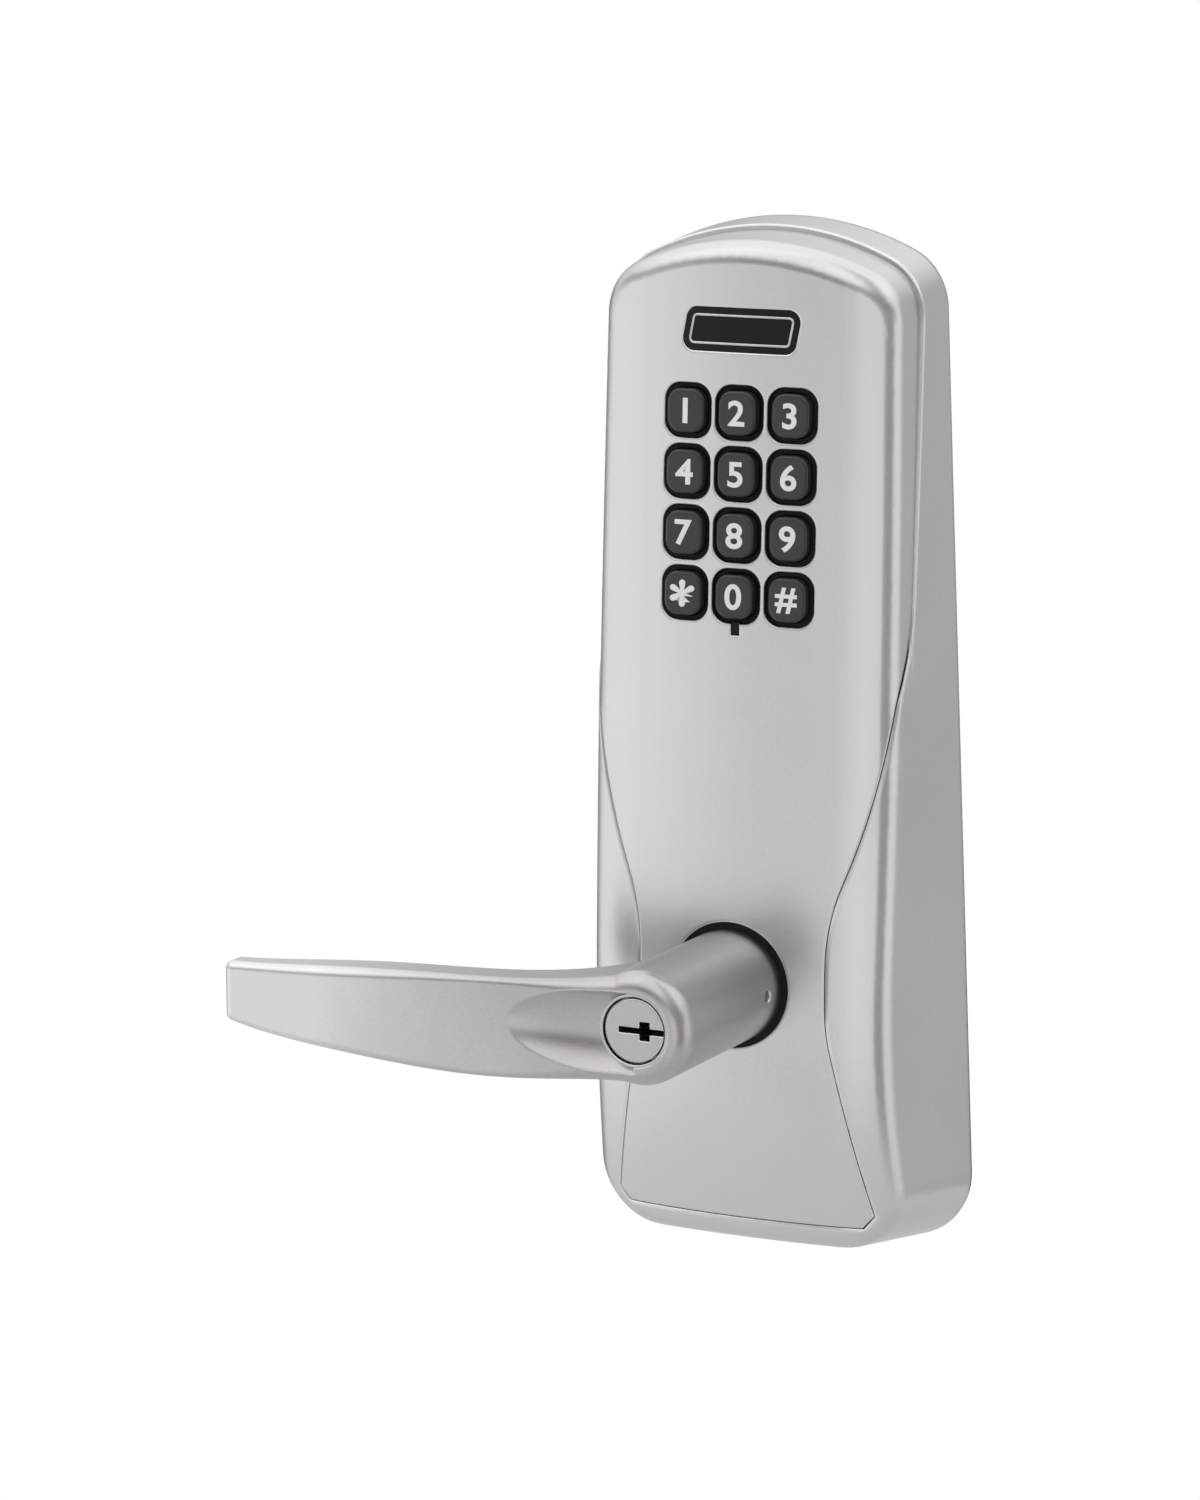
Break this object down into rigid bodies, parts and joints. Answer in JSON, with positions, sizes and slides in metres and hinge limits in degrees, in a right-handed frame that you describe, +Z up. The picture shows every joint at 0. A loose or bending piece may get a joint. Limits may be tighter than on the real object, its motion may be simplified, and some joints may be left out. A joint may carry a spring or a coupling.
{
  "type": "keypad lever lock",
  "caption": "Outside half of an electronic door lock: a tall arched metal case with a push-button keypad, a blank plate, a lever with a key cylinder in its end, and a spindle at the back.",
  "frame": {"origin": "lever and spindle axis, on the door's face, at the base of the pilot ring", "axes": "+Z up the door, +X to the viewer's right, +Y into the door; the keypad faces -Y"},
  "size_m": [0.1581, 0.1325, 0.2501],
  "materials": {
    "satin_chrome": "satin chrome with a fine grain",
    "satin_nickel": "satin nickel",
    "black_plastic": "matt black",
    "key_plastic": "satin charcoal",
    "gloss_black": "gloss black",
    "rubber": "matt",
    "board": "lacquered circuit board",
    "light": "clear",
    "brass": "machined",
    "steel": "zinc plated"
  },
  "bodies": {
    "lock_body": {"housing": "satin_chrome", "front_cover": "satin_chrome", "hub_ring": "black_plastic", "name_plate": "gloss_black", "plate_trim": "satin_nickel", "keypad_frame": "black_plastic", "key_mat": "rubber", "keypad_board": "board", "board_screws": "steel", "board_chips": "black_plastic", "sounder": "black_plastic", "cable_socket": "black_plastic", "indicator_led": "light", "indicator_window": "gloss_black", "hub_bearing": "brass", "spring_cage": "steel", "cage_screws": "steel", "return_spring": "steel", "clutch_motor": "steel", "motor_bracket": "steel", "bracket_screws": "steel", "mounting_plate": "steel", "plate_screws": "steel", "mounting_posts": "steel", "door_gasket": "rubber", "cover_screws": "steel"},
    "lever": {"lever_handle": "satin_chrome", "spindle_sleeve": "steel", "sleeve_clip": "steel", "lever_cam": "steel", "catch_spring": "steel", "cylinder_shell": "satin_nickel", "driver_pins": "brass"},
    "plug": {"key_plug": "satin_nickel", "key_pins": "brass", "plug_clip": "brass", "tailpiece": "steel"},
    "catch": {"lever_catch": "steel"},
    "drive": {"drive_hub": "steel", "drive_spindle": "steel"},
    "collar": {"clutch_collar": "steel"},
    "motor_shaft": {"motor_screw": "steel"},
    "yoke": {"clutch_yoke": "brass"},
    "push_1": {"key_1": "key_plastic"},
    "push_2": {"key_2": "key_plastic"},
    "push_3": {"key_3": "key_plastic"},
    "push_4": {"key_4": "key_plastic"},
    "push_5": {"key_5": "key_plastic"},
    "push_6": {"key_6": "key_plastic"},
    "push_7": {"key_7": "key_plastic"},
    "push_8": {"key_8": "key_plastic"},
    "push_9": {"key_9": "key_plastic"},
    "push_star": {"key_star": "key_plastic"},
    "push_0": {"key_0": "key_plastic"},
    "push_hash": {"key_hash": "key_plastic"}
  },
  "joints": [
    {"name": "lever_turn", "type": "hinge", "parent": "lock_body", "child": "lever", "pos_m": [0, 0, 0], "axis": [0, -1, 0], "range_deg": [-45, 45], "stiffness_Nm_per_rad": 8, "springref_deg": -0.73, "deforming": ["return_spring"]},
    {"name": "plug_turn", "type": "hinge", "parent": "lever", "child": "plug", "pos_m": [0, -0.08, 0], "axis": [0, 1, 0], "range_deg": [0, 90]},
    {"name": "catch_press", "type": "slide", "parent": "lever", "child": "catch", "axis": [-1, 0, 0], "range_m": [0, 0.002], "stiffness_N_per_m": 600, "deforming": ["catch_spring"]},
    {"name": "screw_turn", "type": "hinge", "parent": "lock_body", "child": "motor_shaft", "pos_m": [0, -0.015, 0.032], "axis": [0, 1, 0], "range_deg": [0, 300]},
    {"name": "yoke_slide", "type": "slide", "parent": "lock_body", "child": "yoke", "axis": [0, 1, 0], "range_m": [0, 0.0025]},
    {"name": "collar_slide", "type": "slide", "parent": "lever", "child": "collar", "axis": [0, 1, 0], "range_m": [0, 0.0025]},
    {"name": "drive_turn", "type": "hinge", "parent": "lock_body", "child": "drive", "pos_m": [0, 0, 0], "axis": [0, -1, 0], "range_deg": [-45, 45]},
    {"name": "press_1", "type": "slide", "parent": "lock_body", "child": "push_1", "axis": [0, 0.9988, -0.0499], "range_m": [0, 0.0012], "stiffness_N_per_m": 700, "deforming": ["key_mat"]},
    {"name": "press_2", "type": "slide", "parent": "lock_body", "child": "push_2", "axis": [0, 0.9988, -0.0499], "range_m": [0, 0.0012], "stiffness_N_per_m": 700, "deforming": ["key_mat"]},
    {"name": "press_3", "type": "slide", "parent": "lock_body", "child": "push_3", "axis": [0, 0.9988, -0.0499], "range_m": [0, 0.0012], "stiffness_N_per_m": 700, "deforming": ["key_mat"]},
    {"name": "press_4", "type": "slide", "parent": "lock_body", "child": "push_4", "axis": [0, 0.9988, -0.0499], "range_m": [0, 0.0012], "stiffness_N_per_m": 700, "deforming": ["key_mat"]},
    {"name": "press_5", "type": "slide", "parent": "lock_body", "child": "push_5", "axis": [0, 0.9988, -0.0499], "range_m": [0, 0.0012], "stiffness_N_per_m": 700, "deforming": ["key_mat"]},
    {"name": "press_6", "type": "slide", "parent": "lock_body", "child": "push_6", "axis": [0, 0.9988, -0.0499], "range_m": [0, 0.0012], "stiffness_N_per_m": 700, "deforming": ["key_mat"]},
    {"name": "press_7", "type": "slide", "parent": "lock_body", "child": "push_7", "axis": [0, 0.9988, -0.0499], "range_m": [0, 0.0012], "stiffness_N_per_m": 700, "deforming": ["key_mat"]},
    {"name": "press_8", "type": "slide", "parent": "lock_body", "child": "push_8", "axis": [0, 0.9988, -0.0499], "range_m": [0, 0.0012], "stiffness_N_per_m": 700, "deforming": ["key_mat"]},
    {"name": "press_9", "type": "slide", "parent": "lock_body", "child": "push_9", "axis": [0, 0.9988, -0.0499], "range_m": [0, 0.0012], "stiffness_N_per_m": 700, "deforming": ["key_mat"]},
    {"name": "press_star", "type": "slide", "parent": "lock_body", "child": "push_star", "axis": [0, 0.9988, -0.0499], "range_m": [0, 0.0012], "stiffness_N_per_m": 700, "deforming": ["key_mat"]},
    {"name": "press_0", "type": "slide", "parent": "lock_body", "child": "push_0", "axis": [0, 0.9988, -0.0499], "range_m": [0, 0.0012], "stiffness_N_per_m": 700, "deforming": ["key_mat"]},
    {"name": "press_hash", "type": "slide", "parent": "lock_body", "child": "push_hash", "axis": [0, 0.9988, -0.0499], "range_m": [0, 0.0012], "stiffness_N_per_m": 700, "deforming": ["key_mat"]}
  ],
  "couplings": [
    {"joint": "screw_turn", "follows": "yoke_slide", "rad_per_m": 2094.4},
    {"joint": "collar_slide", "follows": "yoke_slide", "ratio": 1},
    {"joint": "drive_turn", "follows": "lever_turn", "ratio": 1}
  ]
}
